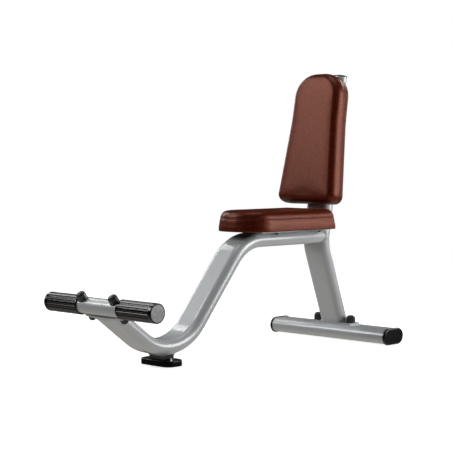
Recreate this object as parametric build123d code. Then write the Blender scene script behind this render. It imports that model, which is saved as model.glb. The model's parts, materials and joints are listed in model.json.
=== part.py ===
from build123d import *
from math import cos, radians, sin, tan
import os

# Upright bench with a footrest: a fixed seat and a reclined back pad on a bent flat-oval frame.
# Millimetres. X is the width, -Y the front, +Z up. The floor is Z = 0, X = 0 is the plane of
# symmetry and Y = 0 the middle of the bench's length. Left is -X, right is +X.

# ---- Frame tube: flat-oval, its wide face across the bench
TUBE_W = 108.0
TUBE_H = 50.0
TUBE_WALL = 3.0
PLATE_T = 6.0
PLATE_CORNER_R = 6.0
WELD = 4.0

# ---- Main tube: footrest arm, bottom bend, diagonal, top bend and seat rail
WHEELBASE = 900.0
BEND_RISE = 35.0
BOTTOM_BEND_R = 183.0
ARM_ANGLE = 36.8
ARM_LENGTH = 149.7
DIAGONAL_ANGLE = 50.25
RAIL_Z = 392.0
TOP_BEND_R = 175.0
VENT_D = 8.5
VENT_EDGE = 5.2

# ---- Rear leg and back post: one tube with a knee at the seat rail
LEG_LEAN = 20.4
POST_RECLINE = 10.0
KNEE_DROP = 27.0
KNEE_R = 135.0
POST_LENGTH = 625.5
POST_CAP_FLANGE = 2.0
POST_CAP_DOME = 3.0

# ---- Stabilizer: flat-oval cross tube with end caps that stand on the floor
STAB_W = 110.0
STAB_H = 54.0
STAB_WALL = 2.5
STAB_LENGTH = 537.0
STAB_LIFT = 3.0
END_CAP_FLANGE = 4.0
END_CAP_DOME = 6.0
PLUG_DEPTH = 26.0
PLUG_WALL = 2.5
PLUG_CLEARANCE = 0.15

# ---- Footrest: round cross tube bolted to a plate on the arm's end
FOOTREST_TILT = 34.0
FOOTREST_SHIFT = 6.9
FOOTREST_PLATE_L = 190.0
FOOTREST_PLATE_END_W = 30.0
FOOTREST_PLATE_END_R = 12.0
FOOTREST_PLATE_EDGE = 6.0
BAR_D = 54.0
BAR_WALL = 3.0
BAR_BOLT_X = 76.0
BAR_WASHER_D = 28.0
SADDLE_T = 2.5

# ---- Footrest grips: rubber sleeves with lengthwise flutes
GRIP_GAP = 0.5
GRIP_LENGTH = 159.0
GRIP_D = 63.0
GRIP_COLLAR = 12.0
GRIP_INNER_COLLAR = 3.0
FLUTES = 16
FLUTE_R = 5.0
FLUTE_DEPTH = 1.6
GRIP_LIP = 3.0
DISC_D = 56.0

# ---- Front foot: rubber pad under a short upright stub of tube
FOOT_L = 147.0
FOOT_W = 78.0
FOOT_T = 20.0
FOOT_CORNER_R = 28.0
FOOT_EDGE_R = 4.0
ANCHOR_D = 11.0
ANCHOR_GAP = 0.5
STUB_W = 95.0
STUB_PLATE_T = 5.0
STUB_WALL = 3.0
FOOT_SCREW_X = 25.0
FOOT_SCREW_RECESS = 5.0

# ---- Rear foot plate, welded under the leg and bolted to the stabilizer
REAR_PLATE_L = 194.0
REAR_PLATE_W = 64.0
REAR_BOLT_X = 78.0
REAR_WASHER_D = 32.0

# ---- Fasteners: bolt diameter, hexagon across flats, head height, nut height
M10 = {"d": 10.0, "af": 16.0, "head": 6.4, "nut": 8.4}
M8 = {"d": 8.0, "af": 13.0, "head": 5.3, "nut": 6.5}
CROWN = 1.12
HEAD_CHAMFER = 0.06
SHANK_CHAMFER = 0.1
BOLT_HOLE_PLAY = 1.0
WASHER_T = 2.0
REAR_COVER = {"af": 32.0, "height": 27.0, "dome": 14.0}
BAR_COVER = {"af": 28.5, "height": 22.5, "dome": 12.0}
NUT_COVER = {"af": 24.0, "height": 21.0, "dome": 9.0}
COVER_PLAY = 0.3
PAD_WASHER_D = 16.5
TEE_BARREL_D = 10.5
TEE_BARREL_L = 9.0
TEE_FLANGE_D = 22.0
TEE_FLANGE_T = 1.6

# ---- Upholstery: plywood board and foam inside a stitched cover
COVER_T = 1.5
BOARD_T = 15.0

# ---- Seat
SEAT_LENGTH = 439.5
SEAT_REAR_HALF = 128.5
SEAT_FRONT_HALF = 108.0
SEAT_T = 72.0
SEAT_DRAFT = 3.0
SEAT_FRONT_R = 104.0
SEAT_REAR_R = 27.0
SEAT_EDGE_R = 24.5
SEAT_GAP = 9.0
SEAT_PLATE_L = 350.0
SEAT_PLATE_W = 140.0
SEAT_BOLT_X = 58.0
SEAT_BOLT_REAR = 25.0
SEAT_BOLT_PITCH = 234.0

# ---- Back pad: heights are measured along the post from its knee
BACK_BOTTOM = 139.5
BACK_WAIST = 437.5
BACK_TOP = 621.0
BACK_LOWER_HALF = 136.5
BACK_WAIST_HALF = 109.8
BACK_UPPER_HALF = 105.6
BACK_T = 71.7
BACK_LOWER_R = 30.0
BACK_WAIST_R = 600.0
BACK_UPPER_R = 87.0
BACK_FRONT_EDGE_R = 17.5
BACK_EDGE_R = 12.5
BACK_PLATE_L = 168.0
BACK_PLATE_W = 46.0
BACK_PLATE_LEVEL = 215.0
BACK_PLATE_DROP = 125.5
BACK_BOLT_X = 68.0

# ---- Cutters: half spaces and drills
HALF_SPACE = 1500.0
DRILL_DEPTH = 200.0

# ---- Derived stations
BAR_R = BAR_D / 2
FOOTREST_NORMAL = (-sin(radians(FOOTREST_TILT)), cos(radians(FOOTREST_TILT)))
FOOTREST_ALONG = (cos(radians(FOOTREST_TILT)), sin(radians(FOOTREST_TILT)))
# The arm meets the footrest plate at a slant, so its cut is longer than the tube is high.
ARM_SLANT = radians(90 - FOOTREST_TILT - ARM_ANGLE)
ARM_CUT_HALF = TUBE_H / 2 / cos(ARM_SLANT)
ARM_CUT_STEP = TUBE_H / 2 * tan(ARM_SLANT)
BEND_CENTRE_Z = BEND_RISE + TUBE_H / 2 + BOTTOM_BEND_R
ARM_DIRECTION = (-cos(radians(ARM_ANGLE)), sin(radians(ARM_ANGLE)))
ARM_FOOT = (
    -BOTTOM_BEND_R * sin(radians(ARM_ANGLE)),
    BEND_CENTRE_Z - BOTTOM_BEND_R * cos(radians(ARM_ANGLE)),
)
ARM_END = tuple(p + ARM_LENGTH * q for p, q in zip(ARM_FOOT, ARM_DIRECTION))
PLATE_FOOT = tuple(p - FOOTREST_SHIFT * q for p, q in zip(ARM_END, FOOTREST_ALONG))
BAR_CENTRE = tuple(p + (PLATE_T + BAR_R) * q for p, q in zip(PLATE_FOOT, FOOTREST_NORMAL))

GRIP_START = FOOTREST_PLATE_L / 2 + GRIP_GAP
ANCHOR_X = STUB_W / 2 + WELD + ANCHOR_GAP + ANCHOR_D / 2

# The front foot's place follows from the reach of the footrest and of the stabilizer.
# In front the domes of the footrest's bolt covers stand a little ahead of the grips.
COVER_REACH = (
    -(BAR_R + SADDLE_T + BAR_COVER["height"] - BAR_COVER["dome"]) * FOOTREST_NORMAL[0]
    + (BAR_COVER["af"] / 2 * CROWN - BAR_COVER["dome"]) * FOOTREST_ALONG[0]
    + BAR_COVER["dome"]
)
FRONT_REACH = max(GRIP_D / 2, COVER_REACH) - BAR_CENTRE[0]
REAR_REACH = WHEELBASE + STAB_W / 2 + STAB_LIFT
FOOT_Y = (FRONT_REACH - REAR_REACH) / 2
STAB_Y = FOOT_Y + WHEELBASE
STAB_Z = STAB_LIFT + STAB_H / 2
REAR_PLATE_Z = STAB_LIFT + STAB_H
LEG_Z = REAR_PLATE_Z + PLATE_T
KNEE_Z = RAIL_Z - KNEE_DROP
KNEE_Y = STAB_Y - (KNEE_Z - LEG_Z) * tan(radians(LEG_LEAN))
SEAT_PLATE_Z = RAIL_Z + TUBE_H / 2
SEAT_Z = SEAT_PLATE_Z + PLATE_T
SEAT_REAR_Y = (
    KNEE_Y
    + (SEAT_Z - KNEE_Z) * tan(radians(POST_RECLINE))
    - TUBE_H / 2 / cos(radians(POST_RECLINE))
    - SEAT_GAP
)
BACK_PLATES_AT = [BACK_PLATE_LEVEL, POST_LENGTH - BACK_PLATE_DROP]

# ---- Working planes
SIDE = Plane(origin=(0, FOOT_Y, 0), x_dir=(0, 1, 0), z_dir=(1, 0, 0))
FOOTREST = Plane(
    origin=(0, FOOT_Y + BAR_CENTRE[0], BAR_CENTRE[1]),
    x_dir=(1, 0, 0),
    z_dir=(0, FOOTREST_NORMAL[0], FOOTREST_NORMAL[1]),
)
POST = Plane(
    origin=(0, KNEE_Y, KNEE_Z),
    x_dir=(1, 0, 0),
    z_dir=(0, -cos(radians(POST_RECLINE)), sin(radians(POST_RECLINE))),
)
BACK = POST.offset(TUBE_H / 2 + PLATE_T)
SEAT = Plane(origin=(0, SEAT_REAR_Y, SEAT_Z), x_dir=(-1, 0, 0), z_dir=(0, 0, 1))
STAB_SECTION = Plane(origin=(0, STAB_Y, STAB_Z), x_dir=(0, 1, 0), z_dir=(1, 0, 0))
SIDES = {"left": -1, "right": 1}
STANDING = (Align.CENTER, Align.CENTER, Align.MIN)
HANGING = (Align.CENTER, Align.CENTER, Align.MAX)


# ---- General shapes
def oval(width, height):
    """Flat-oval outline: two straight sides joined by half circles."""
    return SlotOverall(width, height)


def sweep_oval(path, width, height):
    """Solid flat-oval bar along a path in the plane X = 0, its wide face across the bench."""
    start = Plane(origin=path @ 0, x_dir=(1, 0, 0), z_dir=path % 0)
    return sweep(start * oval(width, height), path=path)


def bent_tube(path):
    """Filled envelope, hollow tube and weld-sized envelope of the frame tube along a path."""
    envelope = sweep_oval(path, TUBE_W, TUBE_H)
    bore = sweep_oval(path, TUBE_W - 2 * TUBE_WALL, TUBE_H - 2 * TUBE_WALL)
    around = sweep_oval(path, TUBE_W + 2 * WELD, TUBE_H + 2 * WELD)
    return envelope, envelope - bore, around


def below(plane):
    """Block that fills the space behind a plane."""
    return plane * Box(HALF_SPACE, HALF_SPACE, HALF_SPACE, align=HANGING)


def above(plane):
    """Block that fills the space in front of a plane."""
    return plane * Box(HALF_SPACE, HALF_SPACE, HALF_SPACE, align=STANDING)


def drill(plane, diameter, points, depth=DRILL_DEPTH):
    """Round cutters through both sides of a plane."""
    return [plane * Pos(x, y, 0) * Cylinder(diameter / 2, depth) for x, y in points]


def plate(length, width):
    """Flat steel plate on the XY plane with rounded corners."""
    return extrude(RectangleRounded(length, width, PLATE_CORNER_R), PLATE_T)


# ---- Fasteners: each stands on the XY plane with its head or face up
def hexagon(across_flats, height):
    return extrude(RegularPolygon(across_flats / 2, 6, major_radius=False), height)


def hex_bolt(size, length):
    """Head above the XY plane, shank below it."""
    head = hexagon(size["af"], size["head"])
    crown = Cylinder(size["af"] / 2 * CROWN, size["head"], align=STANDING)
    crown = chamfer(crown.edges().sort_by(Axis.Z)[-1], size["af"] * HEAD_CHAMFER)
    shank = Cylinder(size["d"] / 2, length, align=HANGING)
    return (head & crown) + chamfer(shank.edges().sort_by(Axis.Z)[0], size["d"] * SHANK_CHAMFER)


def hex_nut(size):
    """Nut that stands on the XY plane, bored for its bolt."""
    return hexagon(size["af"], size["nut"]) - Cylinder(size["d"] / 2, 3 * size["nut"])


def ring(outer, inner, height):
    """Washer or collar that stands on the XY plane."""
    return extrude(Circle(outer / 2) - Circle(inner / 2), height)


def hex_cover(size, held):
    """Hexagonal snap cover with a domed top and a pocket of one height for an M10 head or nut."""
    dome = Cylinder(size["af"] / 2 * CROWN, size["height"], align=STANDING)
    dome = fillet(dome.edges().sort_by(Axis.Z)[-1], size["dome"])
    pocket = hexagon(M10["af"] + COVER_PLAY, held + COVER_PLAY)
    return (hexagon(size["af"], size["height"]) & dome) - pocket


def pad_washer():
    return ring(PAD_WASHER_D, M8["d"] + BOLT_HOLE_PLAY, WASHER_T)


def tee_nut():
    """Flange above the XY plane, barrel below it in the board."""
    bore = Cylinder(M8["d"] / 2, 3 * BOARD_T)
    barrel = Cylinder(TEE_BARREL_D / 2, TEE_BARREL_L, align=HANGING)
    flange = Cylinder(TEE_FLANGE_D / 2, TEE_FLANGE_T, align=STANDING)
    return barrel + flange - bore


def at(plane, points, make, offset=0.0, flip=False):
    """Copies of a piece at points on a plane, turned over where flip is set."""
    turn = Rot(180, 0, 0) if flip else Rot(0, 0, 0)
    return Compound([plane * Pos(x, y, offset) * turn * make() for x, y in points])


# ---- Main tube and footrest plate
diagonal_foot = (
    BOTTOM_BEND_R * sin(radians(DIAGONAL_ANGLE)),
    BEND_CENTRE_Z - BOTTOM_BEND_R * cos(radians(DIAGONAL_ANGLE)),
)
rail_corner_y = diagonal_foot[0] + (RAIL_Z - diagonal_foot[1]) / tan(radians(DIAGONAL_ANGLE))
top_tangent = TOP_BEND_R * tan(radians(DIAGONAL_ANGLE / 2))
rail_end_y = KNEE_Y - FOOT_Y
arm_start = tuple(p + TUBE_H * q for p, q in zip(ARM_END, ARM_DIRECTION))
arm = Line(arm_start, ARM_FOOT)
bottom_bend = JernArc(ARM_FOOT, arm % 1, BOTTOM_BEND_R, ARM_ANGLE + DIAGONAL_ANGLE)
diagonal_end = (
    rail_corner_y - top_tangent * cos(radians(DIAGONAL_ANGLE)),
    RAIL_Z - top_tangent * sin(radians(DIAGONAL_ANGLE)),
)
diagonal = Line(bottom_bend @ 1, diagonal_end)
top_bend = JernArc(diagonal_end, diagonal % 1, TOP_BEND_R, -DIAGONAL_ANGLE)
rail = Line(top_bend @ 1, (rail_end_y, RAIL_Z))
main_path = SIDE * (arm + bottom_bend + diagonal + top_bend + rail)
main_envelope, main_tube, main_around = bent_tube(main_path)

# ---- Rear leg and post, its path started under the foot plate and trimmed there
leg_start = (
    KNEE_Y - FOOT_Y + (KNEE_Z - LEG_Z + TUBE_H / 2) * tan(radians(LEG_LEAN)),
    LEG_Z - TUBE_H / 2,
)
knee = (KNEE_Y - FOOT_Y, KNEE_Z)
knee_tangent = KNEE_R * tan(radians((LEG_LEAN + POST_RECLINE) / 2))
knee_start = (
    knee[0] + knee_tangent * sin(radians(LEG_LEAN)),
    knee[1] - knee_tangent * cos(radians(LEG_LEAN)),
)
leg = Line(leg_start, knee_start)
knee_bend = JernArc(knee_start, leg % 1, KNEE_R, -(LEG_LEAN + POST_RECLINE))
post_end = (
    knee[0] + POST_LENGTH * sin(radians(POST_RECLINE)),
    knee[1] + POST_LENGTH * cos(radians(POST_RECLINE)),
)
post = Line(knee_bend @ 1, post_end)
post_path = SIDE * (leg + knee_bend + post)
post_envelope, rear_post, post_around = bent_tube(post_path)

leg_plane = Plane(origin=(0, STAB_Y, LEG_Z))
plate_under = FOOTREST.offset(-BAR_R - PLATE_T)
vent = Plane(
    origin=SIDE.from_local_coords(Vector(*ARM_END, 0)),
    x_dir=(1, 0, 0),
    z_dir=(0, -sin(radians(ARM_ANGLE)), -cos(radians(ARM_ANGLE))),
)
vent_cut = vent * Pos(0, ARM_CUT_STEP - VENT_EDGE, TUBE_H / 2) * Cylinder(VENT_D / 2, 4 * TUBE_WALL)
main_tube = main_tube - above(plate_under) - post_envelope - vent_cut
rear_post = rear_post - below(leg_plane)

# ---- Front foot
foot_plane = Plane(origin=(0, FOOT_Y, 0))
stub_plane = foot_plane.offset(FOOT_T + STUB_PLATE_T)
stub_top = BEND_RISE + TUBE_H / 2 - FOOT_T - STUB_PLATE_T
foot_screws_at = [(s * FOOT_SCREW_X, 0) for s in (-1, 1)]
anchors_at = [(s * ANCHOR_X, 0) for s in (-1, 1)]
screw_hole = M8["d"] + BOLT_HOLE_PLAY
front_foot_stub = stub_plane * extrude(
    oval(STUB_W, TUBE_H) - oval(STUB_W - 2 * STUB_WALL, TUBE_H - 2 * STUB_WALL), stub_top
)
front_foot_stub = front_foot_stub - main_envelope
front_foot_plate = foot_plane * Pos(0, 0, FOOT_T) * extrude(oval(STUB_W, TUBE_H), STUB_PLATE_T)
front_foot_plate = front_foot_plate - drill(foot_plane, screw_hole, foot_screws_at)
foot_block = extrude(RectangleRounded(FOOT_L, FOOT_W, FOOT_CORNER_R), FOOT_T)
foot_block = fillet(foot_block.edges().group_by(Axis.Z)[-1], FOOT_EDGE_R)
countersink = Pos(0, 0, FOOT_SCREW_RECESS) * Cone(
    M8["d"], M8["d"] / 2, M8["d"] / 2, align=STANDING
)
screw_mouth = Cylinder(M8["d"], FOOT_SCREW_RECESS, align=STANDING)
front_foot_pad = foot_plane * foot_block - drill(foot_plane, ANCHOR_D, anchors_at)
front_foot_pad = front_foot_pad - drill(foot_plane, screw_hole, foot_screws_at)
front_foot_pad = front_foot_pad - [
    foot_plane * Pos(x, y, 0) * (countersink + screw_mouth) for x, y in foot_screws_at
]
screw_length = FOOT_T + STUB_PLATE_T + M8["nut"] - FOOT_SCREW_RECESS
foot_screw = countersink + Pos(0, 0, FOOT_SCREW_RECESS) * Cylinder(
    M8["d"] / 2, screw_length, align=STANDING
)
front_foot_screws = at(foot_plane, foot_screws_at, lambda: foot_screw)
front_foot_nuts = at(stub_plane, foot_screws_at, lambda: hex_nut(M8))

# ---- Rear foot plate and stabilizer
rear_plate_plane = Plane(origin=(0, STAB_Y, REAR_PLATE_Z))
rear_bolts_at = [(s * REAR_BOLT_X, 0) for s in (-1, 1)]
bolt_hole = M10["d"] + BOLT_HOLE_PLAY
rear_foot_plate = rear_plate_plane * plate(REAR_PLATE_L, REAR_PLATE_W)
rear_foot_plate = rear_foot_plate - drill(rear_plate_plane, bolt_hole, rear_bolts_at)
stabilizer_bore = extrude(
    STAB_SECTION * oval(STAB_W - 2 * STAB_WALL, STAB_H - 2 * STAB_WALL), STAB_LENGTH, both=True
)
stabilizer_tube = extrude(STAB_SECTION * oval(STAB_W, STAB_H), STAB_LENGTH / 2, both=True)
stabilizer_tube = stabilizer_tube - stabilizer_bore
stabilizer_tube = stabilizer_tube - drill(rear_plate_plane, bolt_hole, rear_bolts_at, STAB_H)


def end_cap(width, height, lip, flange_t, dome, inner_w, inner_h):
    """Plug for a flat-oval tube's end: its flange lies on the XY plane, its plug below."""
    flange = extrude(oval(width + 2 * lip, height + 2 * lip), flange_t + dome)
    flange = fillet(flange.edges().group_by(Axis.Z)[-1], dome)
    plug = extrude(
        oval(inner_w - 2 * PLUG_CLEARANCE, inner_h - 2 * PLUG_CLEARANCE)
        - oval(inner_w - 2 * PLUG_WALL, inner_h - 2 * PLUG_WALL),
        -PLUG_DEPTH,
    )
    return flange + plug


def stabilizer_cap(side):
    turned = Plane(origin=(side * STAB_LENGTH / 2, STAB_Y, STAB_Z), x_dir=(0, 1, 0), z_dir=(side, 0, 0))
    return turned * end_cap(
        STAB_W,
        STAB_H,
        STAB_LIFT,
        END_CAP_FLANGE,
        END_CAP_DOME,
        STAB_W - 2 * STAB_WALL,
        STAB_H - 2 * STAB_WALL,
    )


post_top = Plane(origin=post_path @ 1, x_dir=(1, 0, 0), z_dir=post_path % 1)
post_cap = post_top * end_cap(
    TUBE_W,
    TUBE_H,
    0.0,
    POST_CAP_FLANGE,
    POST_CAP_DOME,
    TUBE_W - 2 * TUBE_WALL,
    TUBE_H - 2 * TUBE_WALL,
)
rear_top = rear_plate_plane.offset(PLATE_T)
nut_seat = rear_plate_plane.offset(-STAB_WALL)
rear_bolt_length = WASHER_T + PLATE_T + STAB_WALL + M10["nut"] + BOLT_HOLE_PLAY
rear_bolts = at(rear_top, rear_bolts_at, lambda: hex_bolt(M10, rear_bolt_length), WASHER_T)
rear_washers = at(rear_top, rear_bolts_at, lambda: ring(REAR_WASHER_D, bolt_hole, WASHER_T))
rear_nuts = at(nut_seat, rear_bolts_at, lambda: hex_nut(M10), flip=True)
rear_bolt_covers = at(rear_top, rear_bolts_at, lambda: hex_cover(REAR_COVER, M10["head"]), WASHER_T)

# ---- Footrest
bar_bolts_at = [(s * BAR_BOLT_X, 0) for s in (-1, 1)]
plate_middle = Pos(0, FOOTREST_SHIFT + FOOTREST_PLATE_EDGE / 2) * oval(
    TUBE_W + 2 * FOOTREST_PLATE_EDGE, 2 * ARM_CUT_HALF + FOOTREST_PLATE_EDGE
)
plate_ends = RectangleRounded(FOOTREST_PLATE_L, FOOTREST_PLATE_END_W, FOOTREST_PLATE_END_R)
plate_outline = make_hull((plate_middle + plate_ends).edges())
footrest_plate = plate_under * extrude(plate_outline, PLATE_T)
footrest_plate = footrest_plate - drill(plate_under, bolt_hole, bar_bolts_at)
bar_length = 2 * (GRIP_START + GRIP_LENGTH - GRIP_LIP)
bar_outer = Rot(0, 90, 0) * Cylinder(BAR_R, bar_length)
footrest_bar = bar_outer - Rot(0, 90, 0) * Cylinder(BAR_R - BAR_WALL, 2 * bar_length)
footrest_bar = FOOTREST * footrest_bar - drill(FOOTREST, bolt_hole, bar_bolts_at)
under_head = BAR_R + SADDLE_T
saddle = hexagon(BAR_COVER["af"], under_head) - Cylinder(bolt_hole / 2, 2 * under_head)
footrest_saddles = Compound([FOOTREST * (Pos(x, y, 0) * saddle - bar_outer) for x, y in bar_bolts_at])
bar_bolt_length = under_head + BAR_R + PLATE_T + WASHER_T + M10["nut"] + BOLT_HOLE_PLAY
footrest_bolts = at(FOOTREST, bar_bolts_at, lambda: hex_bolt(M10, bar_bolt_length), under_head)
footrest_bolt_covers = at(
    FOOTREST, bar_bolts_at, lambda: hex_cover(BAR_COVER, M10["head"]), under_head
)
footrest_washers = at(
    plate_under, bar_bolts_at, lambda: ring(BAR_WASHER_D, bolt_hole, WASHER_T), flip=True
)
footrest_nuts = at(plate_under, bar_bolts_at, lambda: hex_nut(M10), -WASHER_T, flip=True)
footrest_nut_covers = at(
    plate_under,
    bar_bolts_at,
    lambda: hex_cover(NUT_COVER, M10["nut"] + BOLT_HOLE_PLAY),
    -WASHER_T,
    flip=True,
)


def grip_plane(side):
    """XY plane on a grip's inner end, Z towards the bar's end."""
    start = FOOTREST * Pos(side * GRIP_START, 0, 0)
    return Plane(origin=start.position, x_dir=(0, *FOOTREST_ALONG), z_dir=(side, 0, 0))


def grip(side):
    """Rubber sleeve: plain inner edge, fluted middle, plain outer collar with a lip for the disc."""
    body = Cylinder(GRIP_D / 2, GRIP_LENGTH, align=STANDING)
    body = fillet(body.edges().group_by(Axis.Z)[-1], GRIP_LIP / 2)
    flute_length = GRIP_LENGTH - GRIP_COLLAR - GRIP_INNER_COLLAR
    centre_r = GRIP_D / 2 - FLUTE_DEPTH + FLUTE_R
    flute = Pos(centre_r, 0, GRIP_INNER_COLLAR + flute_length / 2) * Cylinder(FLUTE_R, flute_length)
    flutes = [Rot(0, 0, (k + 0.5) * 360 / FLUTES) * flute for k in range(FLUTES)]
    bore = Cylinder(BAR_R, 3 * GRIP_LENGTH)
    seat = Pos(0, 0, GRIP_LENGTH - GRIP_LIP) * Cylinder(
        DISC_D / 2, GRIP_LIP, align=STANDING
    )
    return grip_plane(side) * (body - flutes - bore - seat)


def grip_disc(side):
    """Cap disc in the grip's end, with a plug in the bar."""
    disc = Cylinder(DISC_D / 2, GRIP_LIP, align=STANDING)
    disc = chamfer(disc.edges().group_by(Axis.Z)[-1], GRIP_LIP / 4)
    bore = BAR_D - 2 * BAR_WALL
    plug = ring(bore - 2 * PLUG_CLEARANCE, bore - 2 * PLUG_WALL, -PLUG_DEPTH)
    return grip_plane(side) * Pos(0, 0, GRIP_LENGTH - GRIP_LIP) * (disc + plug)


# ---- Seat and back pads
def seat_outline(inset):
    """Seat outline from its rear edge forwards, narrower and rounder in front."""
    rear = [(-SEAT_REAR_HALF, 0), (SEAT_REAR_HALF, 0)]
    front = [(SEAT_FRONT_HALF, SEAT_LENGTH), (-SEAT_FRONT_HALF, SEAT_LENGTH)]
    face = make_face(Polyline(*rear, *front, close=True))
    face = fillet(face.vertices().group_by(Axis.Y)[0], SEAT_REAR_R)
    face = fillet(face.vertices().group_by(Axis.Y)[-1], SEAT_FRONT_R)
    return offset(face, -inset) if inset else face


def back_outline(inset):
    """Back pad outline: round-cornered above, flared below its waist."""
    half = [
        (BACK_LOWER_HALF, BACK_BOTTOM),
        (BACK_WAIST_HALF, BACK_WAIST),
        (BACK_UPPER_HALF, BACK_TOP),
    ]
    mirrored = [(-x, y) for x, y in reversed(half)]
    face = make_face(Polyline(*half, *mirrored, close=True))
    face = fillet(face.vertices().group_by(Axis.Y)[1], BACK_WAIST_R)
    face = fillet(face.vertices().group_by(Axis.Y)[0], BACK_LOWER_R)
    face = fillet(face.vertices().group_by(Axis.Y)[-1], BACK_UPPER_R)
    return offset(face, -inset) if inset else face


def cushion(outline, thickness, draft, lower_r, upper_r):
    """Closed pad on the XY plane with leaning sides and rounded lower and upper edges."""
    body = extrude(outline, thickness, taper=draft)
    if lower_r:
        body = fillet(body.edges().group_by(Axis.Z)[0], lower_r)
    return fillet(body.edges().group_by(Axis.Z)[-1], upper_r)


def upholstery(outline, thickness, draft, lower_r, upper_r, bolts, pitch_plane):
    """Cover, foam and board of one pad, drilled for its bolts and tee nuts."""
    outer = cushion(outline(0), thickness, draft, lower_r, upper_r)
    inner = Pos(0, 0, COVER_T) * cushion(
        outline(COVER_T),
        thickness - 2 * COVER_T,
        draft,
        max(lower_r - COVER_T, 0),
        upper_r - COVER_T,
    )
    split_plane = Plane.XY.offset(COVER_T + BOARD_T)
    barrels = drill(Plane.XY, TEE_BARREL_D, bolts, 2 * (COVER_T + BOARD_T))
    flanges = drill(split_plane, TEE_FLANGE_D, bolts, 2 * TEE_FLANGE_T)
    board = inner - above(split_plane) - barrels
    foam = inner - below(split_plane) - flanges
    cover = outer - inner - barrels
    nuts = at(pitch_plane, bolts, tee_nut, COVER_T + BOARD_T)
    return pitch_plane * cover, pitch_plane * foam, pitch_plane * board, nuts


seat_bolts_at = [
    (x * SEAT_BOLT_X, SEAT_BOLT_REAR + row * SEAT_BOLT_PITCH) for row in (0, 1) for x in (-1, 1)
]
back_bolts_at = [(x * BACK_BOLT_X, level) for level in BACK_PLATES_AT for x in (-1, 1)]


def pad_bolt():
    """Bolt through a plate and the cover into the board's tee nut."""
    return hex_bolt(M8, WASHER_T + PLATE_T + COVER_T + BOARD_T)


seat_flat = SEAT.origin - Vector(0, SEAT_PLATE_L / 2, PLATE_T)
seat_plate = Plane(origin=seat_flat) * plate(SEAT_PLATE_W, SEAT_PLATE_L)
seat_plate = seat_plate - drill(SEAT, screw_hole, seat_bolts_at)
seat_cover, seat_foam, seat_board, seat_tee_nuts = upholstery(
    seat_outline, SEAT_T, SEAT_DRAFT, 0, SEAT_EDGE_R, seat_bolts_at, SEAT
)
seat_under = SEAT.offset(-PLATE_T)
seat_washers = at(seat_under, seat_bolts_at, pad_washer, flip=True)
seat_bolts = at(seat_under, seat_bolts_at, pad_bolt, -WASHER_T, flip=True)

back_plate = plate(BACK_PLATE_L, BACK_PLATE_W)
post_face = BACK.offset(-PLATE_T)
back_plates = {
    name: post_face * Pos(0, level, 0) * back_plate - drill(BACK, screw_hole, back_bolts_at)
    for name, level in zip(("lower", "upper"), BACK_PLATES_AT)
}
back_cover, back_foam, back_board, back_tee_nuts = upholstery(
    back_outline, BACK_T, 0, BACK_EDGE_R, BACK_FRONT_EDGE_R, back_bolts_at, BACK
)
back_washers = at(post_face, back_bolts_at, pad_washer, flip=True)
back_bolts = at(post_face, back_bolts_at, pad_bolt, -WASHER_T, flip=True)

# ---- Weld beads where the frame's tubes and plates meet
bead_room = plate_under * extrude(plate_outline, -WELD)
arm_bead = (main_around & bead_room) - main_envelope
leg_bead = (post_around & above(leg_plane) & below(leg_plane.offset(WELD))) - post_envelope
rail_bead = (main_around & post_around) - main_envelope - post_envelope
stub_envelope = stub_plane * extrude(oval(STUB_W, TUBE_H), stub_top)
stub_around = stub_plane * extrude(oval(STUB_W + 2 * WELD, TUBE_H + 2 * WELD), stub_top)
stub_bead = (main_around & stub_around) - main_envelope - stub_envelope
weld_beads = Compound([arm_bead.solid(), leg_bead.solid(), rail_bead.solid(), stub_bead.solid()])

parts = {
    "main_tube": main_tube,
    "rear_post": rear_post,
    "post_cap": post_cap,
    "weld_beads": weld_beads,
    "front_foot_stub": front_foot_stub,
    "front_foot_plate": front_foot_plate,
    "front_foot_pad": front_foot_pad,
    "front_foot_screws": front_foot_screws,
    "front_foot_nuts": front_foot_nuts,
    "rear_foot_plate": rear_foot_plate,
    "rear_bolts": rear_bolts,
    "rear_washers": rear_washers,
    "rear_nuts": rear_nuts,
    "rear_bolt_covers": rear_bolt_covers,
    "stabilizer_tube": stabilizer_tube,
    "footrest_plate": footrest_plate,
    "footrest_bar": footrest_bar,
    "footrest_saddles": footrest_saddles,
    "footrest_bolts": footrest_bolts,
    "footrest_bolt_covers": footrest_bolt_covers,
    "footrest_washers": footrest_washers,
    "footrest_nuts": footrest_nuts,
    "footrest_nut_covers": footrest_nut_covers,
    "seat_plate": seat_plate,
    "seat_board": seat_board,
    "seat_foam": seat_foam,
    "seat_cover": seat_cover,
    "seat_tee_nuts": seat_tee_nuts,
    "seat_washers": seat_washers,
    "seat_bolts": seat_bolts,
    "back_board": back_board,
    "back_foam": back_foam,
    "back_cover": back_cover,
    "back_tee_nuts": back_tee_nuts,
    "back_washers": back_washers,
    "back_bolts": back_bolts,
}
for name, piece in back_plates.items():
    parts["back_plate_" + name] = piece
for name, side in SIDES.items():
    parts["stabilizer_cap_" + name] = stabilizer_cap(side)
    parts["footrest_grip_" + name] = grip(side)
    parts["footrest_disc_" + name] = grip_disc(side)

os.makedirs("parts", exist_ok=True)
for name, piece in parts.items():
    export_step(piece, os.path.join("parts", name + ".step"))
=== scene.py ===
"""Looks of the upright bench: finishes for the frame's nodes, stuffed pads, stage and camera.

Metres throughout. X is the width, -Y the front, +Z up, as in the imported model.
"""

import json
import math

import bmesh
import bpy
import numpy as np
from mathutils import Matrix, Vector
from mathutils.kdtree import KDTree


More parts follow.
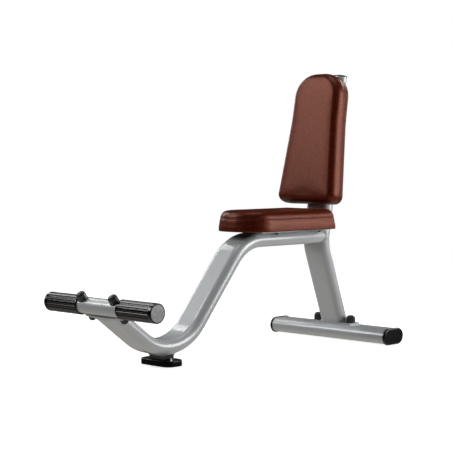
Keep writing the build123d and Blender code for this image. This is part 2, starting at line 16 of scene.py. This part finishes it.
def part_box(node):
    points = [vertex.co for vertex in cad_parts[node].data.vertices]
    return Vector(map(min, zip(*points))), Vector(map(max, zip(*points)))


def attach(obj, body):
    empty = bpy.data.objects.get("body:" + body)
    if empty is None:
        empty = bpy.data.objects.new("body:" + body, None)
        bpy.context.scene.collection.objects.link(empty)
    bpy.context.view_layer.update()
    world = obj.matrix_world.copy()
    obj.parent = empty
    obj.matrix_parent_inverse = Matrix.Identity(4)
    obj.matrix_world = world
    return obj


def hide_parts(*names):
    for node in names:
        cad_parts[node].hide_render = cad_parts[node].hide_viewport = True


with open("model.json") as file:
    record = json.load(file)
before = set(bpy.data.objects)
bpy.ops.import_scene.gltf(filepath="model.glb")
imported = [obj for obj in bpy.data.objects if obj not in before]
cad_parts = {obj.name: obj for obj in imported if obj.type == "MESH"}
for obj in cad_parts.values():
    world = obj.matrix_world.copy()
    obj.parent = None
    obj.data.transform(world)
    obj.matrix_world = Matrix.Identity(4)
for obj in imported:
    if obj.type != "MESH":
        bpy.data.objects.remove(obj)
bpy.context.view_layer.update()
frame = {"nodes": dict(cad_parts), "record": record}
NODES = frame["nodes"]

MM = 0.001
ACROSS = Vector((1, 0, 0))


# ---- Finishes
class Finish:
    """A Principled material whose colour, roughness and bump come from procedural nodes."""

    def __init__(self, name, **uniform):
        self.material = bpy.data.materials.new(name)
        self.material.use_nodes = True
        self.nodes = self.material.node_tree.nodes
        self.links = self.material.node_tree.links
        self.shader = self.nodes["Principled BSDF"]
        self.place = self.nodes.new("ShaderNodeTexCoord").outputs["Object"]
        for socket, value in uniform.items():
            self.shader.inputs[socket.replace("_", " ")].default_value = value

    def node(self, kind, inputs, **settings):
        """A new node with its settings, its inputs set to values or linked to sockets."""
        node = self.nodes.new(kind)
        for key, value in settings.items():
            setattr(node, key, value)
        for key, value in inputs.items():
            if isinstance(value, bpy.types.NodeSocket):
                self.links.new(value, node.inputs[key])
            else:
                node.inputs[key].default_value = value
        return node

    def noise(self, size, detail=2.0, stretch=(1, 1, 1)):
        """Soft noise whose features are about as large as size, in metres."""
        place = self.node("ShaderNodeMapping", {"Vector": self.place, "Scale": stretch})
        wanted = {"Vector": place.outputs[0], "Scale": 1 / size, "Detail": detail}
        return self.node("ShaderNodeTexNoise", wanted).outputs["Fac"]

    def cells(self, size, feature="F1"):
        """Cell pattern, 0 at the middle of each cell."""
        wanted = {"Vector": self.place, "Scale": 1 / size}
        return self.node("ShaderNodeTexVoronoi", wanted, feature=feature).outputs["Distance"]

    def spread(self, value, low, high, start=0.3, end=0.7):
        """Value from start to end mapped to low to high."""
        wanted = {"Value": value, "From Min": start, "From Max": end, "To Min": low, "To Max": high}
        return self.node("ShaderNodeMapRange", wanted).outputs[0]

    def colour(self, value, stops):
        """Colour ramp over a value. Stops are (position, linear colour)."""
        ramp = self.node("ShaderNodeValToRGB", {"Fac": value})
        while len(ramp.color_ramp.elements) < len(stops):
            ramp.color_ramp.elements.new(0.5)
        for element, (position, colour) in zip(ramp.color_ramp.elements, stops):
            element.position = position
            element.color = (*colour, 1)
        return ramp.outputs["Color"]

    def bump(self, height, strength, distance):
        """Adds a bump on top of those made before it."""
        normal = self.shader.inputs["Normal"]
        wanted = {"Height": height, "Strength": strength, "Distance": distance}
        if normal.is_linked:
            wanted["Normal"] = normal.links[0].from_socket
        self.links.new(self.node("ShaderNodeBump", wanted).outputs[0], normal)

    def set(self, socket, source):
        """Drives one of the shader's inputs from a node's output."""
        self.links.new(source, self.shader.inputs[socket])


def painted_steel():
    """Silver powder coat: fine flake in the colour and a slight orange peel."""
    paint = Finish("silver_paint", Metallic=0.15, Coat_Weight=0.7, Coat_Roughness=0.1, Coat_IOR=1.6)
    flake = paint.noise(0.9 * MM, 3.0)
    cloud = paint.noise(60 * MM, 1.0)
    shades = [(0.3, (0.63, 0.656, 0.672)), (0.7, (0.71, 0.738, 0.756))]
    paint.set("Base Color", paint.colour(flake, shades))
    paint.set("Roughness", paint.spread(cloud, 0.42, 0.48))
    paint.bump(paint.noise(2.2 * MM), 0.12, 0.05 * MM)
    return paint.material


def moulded(name, dark, light, roughness, grain, strength, **uniform):
    """Moulded rubber or plastic with a fine grain."""
    body = Finish(name, **uniform)
    body.set("Base Color", body.colour(body.noise(6 * MM, 4.0), [(0.35, dark), (0.65, light)]))
    body.set("Roughness", body.spread(body.noise(14 * MM), roughness - 0.04, roughness + 0.05))
    body.bump(body.noise(grain, 3.0), strength, 0.12 * MM)
    return body.material


def metal(name, dark, light, roughness, stretch):
    """Plated or brushed metal with fine scratches along one way."""
    body = Finish(name, Metallic=1.0)
    scratches = body.noise(0.8 * MM, 3.0, stretch)
    body.set("Base Color", body.colour(body.noise(9 * MM), [(0.3, dark), (0.7, light)]))
    body.set("Roughness", body.spread(scratches, roughness - 0.06, roughness + 0.08))
    body.bump(scratches, 0.1, 0.03 * MM)
    return body.material


def plywood():
    """Birch board with its long grain."""
    board = Finish("birch_plywood", Roughness=0.6)
    grain = board.noise(5 * MM, 4.0, (1, 0.08, 1))
    shades = [(0.3, (0.5, 0.33, 0.18)), (0.7, (0.66, 0.48, 0.29))]
    board.set("Base Color", board.colour(grain, shades))
    board.bump(grain, 0.2, 0.1 * MM)
    return board.material


def foam():
    """Open-cell foam."""
    body = Finish("grey_foam", Roughness=0.95)
    cells = body.cells(1.5 * MM)
    shades = [(0.0, (0.16, 0.16, 0.17)), (0.8, (0.3, 0.3, 0.31))]
    body.set("Base Color", body.colour(cells, shades))
    body.bump(cells, 0.5, 0.4 * MM)
    return body.material


def leatherette():
    """Reddish-brown upholstery vinyl: pebbled grain, soft mottling and a low sheen."""
    hide = Finish("brown_leatherette", Specular_IOR_Level=0.75, Specular_Tint=(1.0, 0.38, 0.25, 1))
    pebbles = hide.cells(1.6 * MM, "SMOOTH_F1")
    mottle = hide.noise(9 * MM, 6.0)
    shades = [(0.34, (0.058, 0.0048, 0.0005)), (0.66, (0.14, 0.0135, 0.0018))]
    hide.set("Base Color", hide.colour(mottle, shades))
    hide.set("Roughness", hide.spread(pebbles, 0.33, 0.45, start=0.0, end=0.8))
    hide.bump(pebbles, 0.3, 0.25 * MM)
    hide.bump(hide.noise(16 * MM, 2.0), 0.15, 0.6 * MM)
    return hide.material


def thread():
    """Twisted polyester thread."""
    body = Finish("brown_thread", Roughness=0.6, Sheen_Weight=0.3)
    twist = body.noise(0.5 * MM, 2.0, (1, 1, 0.4))
    shades = [(0.3, (0.07, 0.014, 0.007)), (0.7, (0.13, 0.03, 0.016))]
    body.set("Base Color", body.colour(twist, shades))
    body.bump(twist, 0.4, 0.1 * MM)
    return body.material


LEATHER = leatherette()
THREAD = thread()
# darker plated steel for the foot stub and its plate: partly their plated look, partly painted
# shade standing in for the shadow the tube above casts on them
STUB_STEEL_AND_SHADE = metal("stub_steel_and_painted_shade", (0.22, 0.225, 0.23), (0.34, 0.345, 0.35), 0.16, (1, 1, 0.2))
PANEL = moulded(
    "black_backing", (0.004, 0.004, 0.004), (0.009, 0.009, 0.009), 0.5, 2 * MM, 0.3
)

# the finish of each material slot in the record
FINISHES = {
    "frame_paint": painted_steel(),
    "grip_rubber": moulded(
        "grip_rubber", (0.003, 0.003, 0.0035), (0.006, 0.006, 0.0065), 0.17, 0.7 * MM, 0.04
    ),
    "foot_rubber": moulded(
        "foot_rubber", (0.001, 0.001, 0.001), (0.002, 0.002, 0.002), 0.22, 0.9 * MM, 0.08,
        Specular_IOR_Level=0.35,
    ),
    "cap_plastic": moulded(
        "cap_plastic", (0.004, 0.004, 0.005), (0.008, 0.008, 0.009), 0.24, 0.8 * MM, 0.1
    ),
    "cover_plastic": moulded(
        "cover_plastic", (0.03, 0.031, 0.034), (0.048, 0.05, 0.053), 0.36, 0.8 * MM, 0.1
    ),
    "disc_metal": metal(
        "satin_aluminium", (0.22, 0.22, 0.22), (0.33, 0.33, 0.33), 0.42, (1, 0.06, 1)
    ),
    "zinc_steel": metal("zinc_plate", (0.2, 0.2, 0.21), (0.28, 0.28, 0.29), 0.34, (1, 1, 1)),
    "plywood": plywood(),
    "pad_foam": foam(),
    "pad_cover": LEATHER,
}


def dress(obj, material):
    """Gives an object one material."""
    obj.data.materials.clear()
    obj.data.materials.append(material)


for subpart in frame["record"]["subparts"]:
    dress(NODES[subpart["node"]], FINISHES[subpart["material_slot"]])
# the stub and its plate get the darker steel in place of their frame paint, partly as painted shade
# for their place under the tube
for node in ("front_foot_stub", "front_foot_plate"):
    dress(NODES[node], STUB_STEEL_AND_SHADE)


# ---- Pads
OUTLINE_POINTS = 480
WELD = 0.001 * MM


class Pad:
    """Place and outline of a CAD pad. Its own frame has X across, Y along and Z out of its face."""

    def __init__(self, node, along, level):
        self.node = node
        along = along.normalized()
        turn = Matrix((ACROSS, along, ACROSS.cross(along))).transposed().to_4x4()
        points = [turn.inverted() @ v.co for v in NODES[node].data.vertices]
        low, high = (Vector(f(p[i] for p in points) for i in range(3)) for f in (min, max))
        self.thick = high.z - low.z
        self.frame = turn @ Matrix.Translation((0, (low.y + high.y) / 2, low.z))
        self.outline = self._section(self.thick * level)

    def _section(self, height):
        """The pad's outer outline at a height, as (across, along) points evenly spaced."""
        mesh = bmesh.new()
        mesh.from_mesh(NODES[self.node].data)
        mesh.transform(self.frame.inverted())
        bmesh.ops.remove_doubles(mesh, verts=mesh.verts, dist=WELD)
        cut = bmesh.ops.bisect_plane(
            mesh,
            geom=mesh.verts[:] + mesh.edges[:] + mesh.faces[:],
            plane_co=(0, 0, height),
            plane_no=(0, 0, 1),
        )
        edges = [g for g in cut["geom_cut"] if isinstance(g, bmesh.types.BMEdge)]
        outer = max(walk_loops(edges), key=lambda loop: max(abs(p.x) for p in loop))
        mesh.free()
        return even_loop(outer, OUTLINE_POINTS)


def walk_loops(edges):
    """Closed loops of points along connected edges."""
    beside = {}
    for edge in edges:
        a, b = edge.verts
        beside.setdefault(a, []).append(b)
        beside.setdefault(b, []).append(a)
    loops = []
    while beside:
        vert = next(iter(beside))
        loop = []
        while vert in beside:
            loop.append(vert.co.copy())
            ahead = [v for v in beside.pop(vert) if v in beside]
            if not ahead:
                break
            vert = ahead[0]
        loops.append(loop)
    return loops


def distances(chain):
    """How far along a chain of points each of them lies."""
    return np.concatenate([[0], np.cumsum(np.linalg.norm(np.diff(chain, axis=0), axis=1))])


def spaced(ring, count):
    """Points spread evenly round a closed loop."""
    closed = np.vstack([ring, ring[:1]])
    run = distances(closed)
    stops = np.linspace(0, run[-1], count, endpoint=False)
    return np.stack([np.interp(stops, run, closed[:, k]) for k in (0, 1)], axis=1)


def even_loop(points, count):
    """Points spread evenly round a closed loop, counter-clockwise, as an array."""
    ring = np.array([(p.x, p.y) for p in points])
    x, y = ring.T
    area = np.sum(x * np.roll(y, -1) - y * np.roll(x, -1))
    return spaced(ring[::-1] if area < 0 else ring, count)


def outward(ring):
    """Outward normals of a counter-clockwise loop."""
    tangent = np.roll(ring, -1, axis=0) - np.roll(ring, 1, axis=0)
    tangent /= np.linalg.norm(tangent, axis=1, keepdims=True)
    return np.stack([tangent[:, 1], -tangent[:, 0]], axis=1)


def depth_inside(points, outline):
    """Distance of each point from a closed outline."""
    step = (np.roll(outline, -1, axis=0) - outline)[None]
    to_point = points[:, None] - outline[None]
    share = np.clip(np.sum(to_point * step, axis=2) / np.sum(step * step, axis=2), 0, 1)
    return np.min(np.linalg.norm(to_point - share[..., None] * step, axis=2), axis=1)


def drawn_in(ring, distance, step=2 * MM):
    """A closed loop moved inward by a distance, kept even so that it never folds."""
    count = max(1, math.ceil(distance / step))
    for _ in range(count):
        ring = spaced(ring - outward(ring) * distance / count, len(ring))
    return ring


def smooth_step(value):
    """0 up to 0, 1 from 1 on, with a smooth rise between."""
    value = np.clip(value, 0, 1)
    return value * value * (3 - 2 * value)


FOLD = 24 * MM  # width of the cover's folded edge underneath
BACKING = 1.2 * MM  # depth of the recess inside the fold
TUCK_RUN = 15 * MM  # height over which the cover leaves the board
BELLY = 0.3 * MM  # how far the side bulges at half its height
CROWN_REACH = 45 * MM  # how far in from the edge the face's crown builds up
SEAM_WIDTH = 1.1 * MM  # half width of the sewn groove

# where the mesh has its rows: round the lower edge, up the side, about the seam, over most
# of the rolled edge, and in over the rest of it and the face
LOWER_TURNS = np.radians(np.linspace(0, 90, 7))
SIDE_LEVELS = 16
SEAM_LEVELS = np.array([-5, -3.5, -2.4, -1.6, -0.9, -0.4, 0, 0.4, 0.9, 1.6, 2.4, 3.5, 5]) * MM
LEVEL_DIGITS = 5  # rows at the same hundredth of a millimetre are one
ROLL_TURNS = np.radians(np.linspace(0, 62, 15))
FACE_STEPS = np.cumsum([1.2, 1.5, 2, 2.5, 3, 3.5, 4, 5, 6, 6, 7, 7, 8, 8, 8, 8, 8, 8, 8])
FACE_MIDDLE = 3 * MM  # how near the innermost row comes to the middle


def lifted(ring, level):
    """A flat loop as points in space, each at its level."""
    return np.column_stack([ring, level])


def closed_mesh(name, rows):
    """Mesh of rows of points one above the other, closed by its first and its last row."""
    count = len(rows[0])
    faces = [list(range(count))[::-1]]
    for row in range(len(rows) - 1):
        low, high = row * count, (row + 1) * count
        for k in range(count):
            after = (k + 1) % count
            faces.append((low + k, low + after, high + after, high + k))
    last = (len(rows) - 1) * count
    faces.append([last + k for k in range(count)])
    data = bpy.data.meshes.new(name)
    data.from_pydata([tuple(p) for p in np.vstack(rows)], [], faces)
    data.update()
    return data


class Upholstery:
    """A pad's cover stretched over foam and board, in the pad's own frame.

    lower_r is the radius of the lower edge, and board the board's thickness. The side stands
    in by tuck above the board and by lean at the rolled edge, which is edge_in wide and
    edge_down high. The seam lies seam_down below the face and is seam_depth deep. The face
    rises by crown towards its middle. slack is how far the whole stays inside the CAD pad.
    """

    def __init__(
        self, pad, lower_r, board, tuck, lean, edge_in, edge_down,
        seam_down, seam_depth, crown, slack,
    ):
        self.pad = pad
        self.lower_r = lower_r
        self.board = board
        self.tuck = tuck
        self.lean = lean
        self.edge_in = edge_in
        self.edge_down = edge_down
        self.crown = crown
        self.slack = slack
        self.top = pad.thick - slack
        self.seam = self.top - seam_down
        self.seam_depth = seam_depth

    def side_inset(self, height):
        """How far the side stands in from the outline at a height."""
        below = np.clip(self.lower_r - height, 0, None)
        roll = self.lower_r - np.sqrt(self.lower_r**2 - below**2)
        settled = self.board + TUCK_RUN
        rise = np.clip((height - settled) / (self.top - self.edge_down - settled), 0, 1)
        above_board = smooth_step((height - self.board) / TUCK_RUN)
        belly = BELLY * np.sin(math.pi * rise)
        drawn = (self.tuck + self.slack) * above_board
        return roll + drawn + (self.lean - self.tuck) * rise - belly

    def face_height(self, depth):
        """Height of the outer face at a depth inside the outline."""
        past = depth - self.lean - self.slack
        share = np.clip(past / self.edge_in, 0, 1)
        edge = self.edge_down * (np.sqrt(1 - (1 - share) ** 2) - 1)
        inward = np.clip(past - self.edge_in / 2, 0, None)
        crown = self.crown * (1 - np.exp(-inward / CROWN_REACH))
        return self.top + edge + crown

    def rows(self, groove):
        """Rows of points from the recess underneath, up the side and over the face."""
        outline = self.pad.outline
        normals = outward(outline)
        rows = [
            lifted(drawn_in(outline, inset), np.full(len(outline), level))
            for inset, level in ((FOLD + BACKING, BACKING), (FOLD, BACKING), (FOLD, 0.0))
        ]
        start = self.top - self.edge_down
        roll = self.lower_r * (1 - np.cos(LOWER_TURNS))
        side = np.linspace(self.lower_r, start, SIDE_LEVELS)[1:-1]
        levels = np.concatenate([roll, side, self.seam + SEAM_LEVELS])
        levels = np.unique(np.round(levels, LEVEL_DIGITS))
        levels = levels[levels < start]
        insets = self.side_inset(levels)
        if groove:
            away = (levels - self.seam) / SEAM_WIDTH
            insets = insets + self.seam_depth * np.exp(-(away**2))
        for inset, level in zip(insets, levels):
            rows.append(lifted(outline - normals * inset, np.full(len(outline), level)))
        for turn in ROLL_TURNS:
            inset = self.lean + self.slack + self.edge_in * (1 - math.cos(turn))
            level = self.face_height(np.full(len(outline), inset))
            rows.append(lifted(outline - normals * inset, level))
        rim = rows[-1][:, :2]
        centre = outline.mean(axis=0)
        half = np.min(np.linalg.norm(rim - centre, axis=1))
        for share in 1 - FACE_STEPS / FACE_STEPS[-1] * (1 - FACE_MIDDLE / half):
            ring = centre + (rim - centre) * share
            rows.append(lifted(ring, self.face_height(depth_inside(ring, outline))))
        return rows


def link(name, data):
    """A new object of a mesh, light or camera, in the scene."""
    obj = bpy.data.objects.new(name, data)
    bpy.context.scene.collection.objects.link(obj)
    return obj


def applied(obj):
    """Replaces an object's mesh by its modified one and removes its modifiers."""
    graph = bpy.context.evaluated_depsgraph_get()
    mesh = bpy.data.meshes.new_from_object(obj.evaluated_get(graph))
    obj.modifiers.clear()
    obj.data = mesh


def from_bmesh(name, mesh):
    """A new mesh of a bmesh, which is freed."""
    data = bpy.data.meshes.new(name)
    mesh.to_mesh(data)
    mesh.free()
    return data


def shade_smooth(mesh):
    """Shades all of a mesh's faces smooth."""
    for face in mesh.polygons:
        face.use_smooth = True


def coordinates(mesh):
    """A mesh's vertices as an array."""
    co = np.empty(len(mesh.vertices) * 3, np.float32)
    mesh.vertices.foreach_get("co", co)
    return co.reshape(-1, 3).astype(float)


VOXEL = 6 * MM  # the form that is simulated is this coarse
SMOOTHING = 3
SWELL_FRAMES = 20
STILL = 1e-9  # a movement that counts as none
CLOTH = {
    "quality": 4,
    "mass": 0.25,
    "use_pressure": True,
    "uniform_pressure_force": 4,
    "tension_stiffness": 30,
    "compression_stiffness": 30,
    "bending_stiffness": 2,
}


def swelling(mesh, held_below, cap):
    """Cloth simulation of a stuffed form: its points at rest and how far each one moves."""
    form = link("stuffing", mesh)
    remesh = form.modifiers.new("remesh", "REMESH")
    remesh.mode = "VOXEL"
    remesh.voxel_size = VOXEL
    form.modifiers.new("smooth", "SMOOTH").iterations = SMOOTHING
    applied(form)
    start = coordinates(form.data)
    group = form.vertex_groups.new(name="stapled")
    group.add([i for i, p in enumerate(start) if p[2] < held_below], 1.0, "REPLACE")
    cloth = form.modifiers.new("cloth", "CLOTH")
    for key, value in CLOTH.items():
        setattr(cloth.settings, key, value)
    cloth.settings.vertex_group_mass = group.name
    cloth.settings.effector_weights.gravity = 0
    cloth.collision_settings.use_collision = False
    cloth.point_cache.frame_start = 1
    cloth.point_cache.frame_end = SWELL_FRAMES
    scene = bpy.context.scene
    for number in range(1, SWELL_FRAMES + 1):
        scene.frame_set(number)
    applied(form)
    moved = coordinates(form.data) - start
    scene.frame_set(1)
    bpy.data.objects.remove(form)
    length = np.linalg.norm(moved, axis=1, keepdims=True)
    return start, moved * (cap * np.tanh(length / cap) / np.maximum(length, STILL))


def carried(points, start, moved, near=32, soft=9 * MM):
    """Movement of points that lie among others whose movement is known."""
    tree = KDTree(len(start))
    for i, p in enumerate(start):
        tree.insert(p, i)
    tree.balance()
    out = np.zeros_like(points)
    for i, p in enumerate(points):
        found = tree.find_n(p, near)
        weights = np.array([1 / (distance**2 + soft**2) for _, _, distance in found])
        moves = moved[[index for _, index, _ in found]]
        out[i] = (weights[:, None] * moves).sum(axis=0) / weights.sum()
    return out


def placed(obj, pad):
    """Puts a piece made in a pad's frame in its place on the bench."""
    obj.data.transform(pad.frame)
    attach(obj, "root")


SEAM_GIVE = 0.5  # share of the swelling that the seam's thread holds back
SEAM_HOLD = 7 * MM  # how far from the seam it does so


def stuffed(name, form, nodes, cap):
    """Makes the padded form that stands for a CAD pad's nodes. Returns its rows of points."""
    rows = form.rows(groove=True)
    points = np.vstack(rows)
    plain = closed_mesh("stuffing", form.rows(groove=False))
    start, moved = swelling(plain, form.board, cap)
    push = carried(points, start, moved)
    hold = SEAM_GIVE * np.exp(-(((points[:, 2] - form.seam) / SEAM_HOLD) ** 2))
    free = smooth_step((points[:, 2] - form.board) / TUCK_RUN)
    points = points + push * ((1 - hold) * free)[:, None]
    count = len(rows[0])
    rows = [points[k:k + count] for k in range(0, len(points), count)]
    body = link(name, closed_mesh(name, rows))
    shade_smooth(body.data)
    dress(body, LEATHER)
    placed(body, form.pad)
    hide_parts(*nodes)
    return rows


BACKING_GAP = 0.5 * MM
BACKING_EDGE = 0.4 * MM
BACKING_LOW = 0.1 * BACKING


def backed(name, form):
    """Makes the black panel let into the cover's folded edge, under a pad or behind it."""
    sides = ((BACKING_EDGE, BACKING_LOW), (0.0, BACKING_LOW + BACKING_EDGE), (0.0, BACKING))
    rows = []
    for inset, level in sides:
        ring = drawn_in(form.pad.outline, FOLD + BACKING_GAP + inset)
        rows.append(lifted(ring, np.full(len(ring), level)))
    panel = link(name, closed_mesh(name, rows))
    dress(panel, PANEL)
    placed(panel, form.pad)


STITCH_ABOVE = 4.5 * MM
STITCH_PITCH = 5.5 * MM
STITCH_LENGTH = 3.8 * MM
STITCH_R = 0.45 * MM
STITCH_SIDES = 6
# share of the length, share of the radius, and height over the cover in radii
STITCH_RINGS = ((0.0, 0.35, -0.4), (0.2, 1.0, 0.6), (0.8, 1.0, 0.6), (1.0, 0.35, -0.4))


def stitch(mesh, at, begin):
    """Adds one stitch, whose ends dip into the cover. at gives the place at a distance."""
    ahead = (at(begin + STITCH_LENGTH)[0] - at(begin)[0]).normalized()
    rings = []
    for share, thick, rise in STITCH_RINGS:
        point, out = at(begin + share * STITCH_LENGTH)
        side = ahead.cross(out)
        centre = point + out * STITCH_R * rise
        ring = []
        for turn in range(STITCH_SIDES):
            angle = 2 * math.pi * turn / STITCH_SIDES
            arm = out * math.sin(angle) + side * math.cos(angle)
            ring.append(mesh.verts.new(centre + arm * STITCH_R * thick))
        rings.append(ring)
    for low, high in zip(rings, rings[1:]):
        for turn in range(STITCH_SIDES):
            after = (turn + 1) % STITCH_SIDES
            mesh.faces.new((low[turn], low[after], high[after], high[turn]))
    mesh.faces.new(rings[0][::-1])
    mesh.faces.new(rings[-1])


def stitched(name, form, rows):
    """Makes a row of stitches round a pad's side, a little above its seam."""
    heights = np.array([row[:, 2].mean() for row in rows[:-len(FACE_STEPS)]])
    k = int(np.argmin(abs(heights - form.seam - STITCH_ABOVE)))
    path = rows[k]
    up = rows[k + 1] - rows[k - 1]
    along = np.roll(path, -1, axis=0) - np.roll(path, 1, axis=0)
    normal = np.cross(along, up)
    normal /= np.linalg.norm(normal, axis=1, keepdims=True)
    closed = np.vstack([path, path[:1]])
    normals = np.vstack([normal, normal[:1]])
    run = distances(closed)
    count = round(run[-1] / STITCH_PITCH)

    def at(distance):
        distance = distance % run[-1]
        point, out = (
            Vector([np.interp(distance, run, values[:, i]) for i in range(3)])
            for values in (closed, normals)
        )
        return point, out.normalized()

    mesh = bmesh.new()
    for number in range(count):
        stitch(mesh, at, number * run[-1] / count)
    bmesh.ops.recalc_face_normals(mesh, faces=mesh.faces[:])
    row = link(name, from_bmesh(name, mesh))
    shade_smooth(row.data)
    dress(row, THREAD)
    placed(row, form.pad)


def middle(node):
    """Middle of a node's box."""
    low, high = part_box(node)
    return (low + high) / 2


SEAT_ALONG = Vector((0, 1, 0))
post_along = middle("back_plate_upper") - middle("back_plate_lower")
seat = Upholstery(
    Pad("seat_cover", SEAT_ALONG, level=0.02),
    lower_r=3.5 * MM, board=14 * MM, tuck=0.4 * MM, lean=4.2 * MM, edge_in=22 * MM,
    edge_down=22 * MM, seam_down=27 * MM, seam_depth=1.0 * MM, crown=2 * MM, slack=1.5 * MM,
)
back = Upholstery(
    Pad("back_cover", post_along, level=0.4),
    lower_r=12.5 * MM, board=17 * MM, tuck=0.8 * MM, lean=1.0 * MM, edge_in=23 * MM,
    edge_down=29 * MM, seam_down=33 * MM, seam_depth=0.0, crown=2 * MM, slack=-2.0 * MM,
)
seat_rows = stuffed("seat_cushion", seat, ["seat_cover", "seat_foam"], cap=2.2 * MM)
stuffed("back_cushion", back, ["back_cover", "back_foam"], cap=1.4 * MM)
stitched("seat_stitching", seat, seat_rows)
backed("seat_underside_panel", seat)
backed("back_rear_panel", back)


# ---- Stage, lights and camera
FLOOR_SIZE = 60.0
FLOOR_GLOW = 0.72
FLOOR_TINT = 0.86
FLOOR_NEAR = 1.4  # up to here the floor is as above; from FLOOR_FAR on it is white
FLOOR_FAR = 4.5


def floor():
    """Pale floor that only the camera sees, brighter far away so that it meets the backdrop."""
    mesh = bmesh.new()
    bmesh.ops.create_grid(mesh, x_segments=1, y_segments=1, size=FLOOR_SIZE / 2)
    ground = link("floor", from_bmesh("floor", mesh))
    ground.visible_diffuse = False
    ground.visible_glossy = False
    body = Finish("pale_floor", Roughness=0.9, Specular_IOR_Level=0.1)
    flat = body.node("ShaderNodeVectorMath", {0: body.place}, operation="LENGTH").outputs["Value"]
    glow = body.spread(flat, FLOOR_GLOW, 1.0, FLOOR_NEAR, FLOOR_FAR)
    tint = body.spread(flat, FLOOR_TINT, 0.0, FLOOR_NEAR, FLOOR_FAR)
    body.set("Base Color", tint)
    body.shader.inputs["Emission Color"].default_value = (1, 1, 1, 1)
    body.set("Emission Strength", glow)
    dress(ground, body.material)


CENTRE = Vector((0, 0.05, 0.45))
LIGHTS = [
    # name, azimuth and elevation seen from CENTRE, distance, width, height, power
    ("key_left", -134, 33, 4.0, 1.4, 2.2, 62),
    ("rim_left", 174, 28, 4.0, 1.0, 2.6, 34),
    ("side_right", 37, 12, 4.0, 2.0, 2.2, 84),
    ("rim_right", 94, 16, 4.0, 1.1, 2.4, 50),
    ("top", 90, 86, 3.4, 1.6, 2.6, 20),
]


def softbox(name, azimuth, elevation, distance, width, height, power):
    """Rectangular area light that faces the bench."""
    data = bpy.data.lights.new(name, "AREA")
    data.shape = "RECTANGLE"
    data.size = width
    data.size_y = height
    data.energy = power
    light = link(name, data)
    flat = math.cos(math.radians(elevation))
    turn = math.radians(azimuth)
    ray = Vector((flat * math.cos(turn), flat * math.sin(turn), math.sin(math.radians(elevation))))
    light.location = CENTRE + ray * distance
    light.rotation_euler = ray.to_track_quat("Z", "Y").to_euler()


FILL = 0.02  # strength of the dim room
BOUNCE = 0.6  # strength of the lit floor
ROOM_TINT = (1.0, 0.96, 0.9)
BOUNCE_BELOW = -0.8  # directions whose Z is less than this see the lit floor
BOUNCE_UNTIL = -0.08  # and those above this see the dim room


def backdrop():
    """World that is white for the camera; the bench sees a dim room over a lit floor."""
    world = bpy.data.worlds.new("studio")
    world.use_nodes = True
    bpy.context.scene.world = world
    nodes = world.node_tree.nodes
    links = world.node_tree.links
    split = nodes.new("ShaderNodeSeparateXYZ")
    links.new(nodes.new("ShaderNodeTexCoord").outputs["Generated"], split.inputs[0])
    height = nodes.new("ShaderNodeMapRange")
    height.inputs["From Min"].default_value = BOUNCE_BELOW
    height.inputs["From Max"].default_value = BOUNCE_UNTIL
    height.inputs["To Min"].default_value = BOUNCE
    height.inputs["To Max"].default_value = FILL
    links.new(split.outputs["Z"], height.inputs["Value"])
    room = nodes["Background"]
    room.inputs["Color"].default_value = (*ROOM_TINT, 1)
    links.new(height.outputs[0], room.inputs["Strength"])
    white = nodes.new("ShaderNodeBackground")
    white.inputs["Color"].default_value = (1, 1, 1, 1)
    both = nodes.new("ShaderNodeMixShader")
    links.new(nodes.new("ShaderNodeLightPath").outputs["Is Camera Ray"], both.inputs["Fac"])
    links.new(room.outputs[0], both.inputs[1])
    links.new(white.outputs[0], both.inputs[2])
    links.new(both.outputs[0], nodes["World Output"].inputs["Surface"])


CAMERA_AZIMUTH = 43.86
CAMERA_PITCH = 2.82
CAMERA_FROM_FOOT = Vector((3.0545, -2.8698, 0.6601))
SENSOR = 36.0
LENS = 101.82


def camera():
    """Camera at a fixed place from the front foot, so that it follows the part's frame."""
    foot = middle("front_foot_pad")
    data = bpy.data.cameras.new("camera")
    data.sensor_width = SENSOR
    data.lens = LENS
    eye = link("camera", data)
    eye.location = Vector((0, foot.y, 0)) + CAMERA_FROM_FOOT
    eye.rotation_euler = (math.radians(90 - CAMERA_PITCH), 0, math.radians(CAMERA_AZIMUTH))
    bpy.context.scene.camera = eye


floor()
backdrop()
for light in LIGHTS:
    softbox(*light)
camera()
bpy.context.scene.view_settings.view_transform = "Standard"
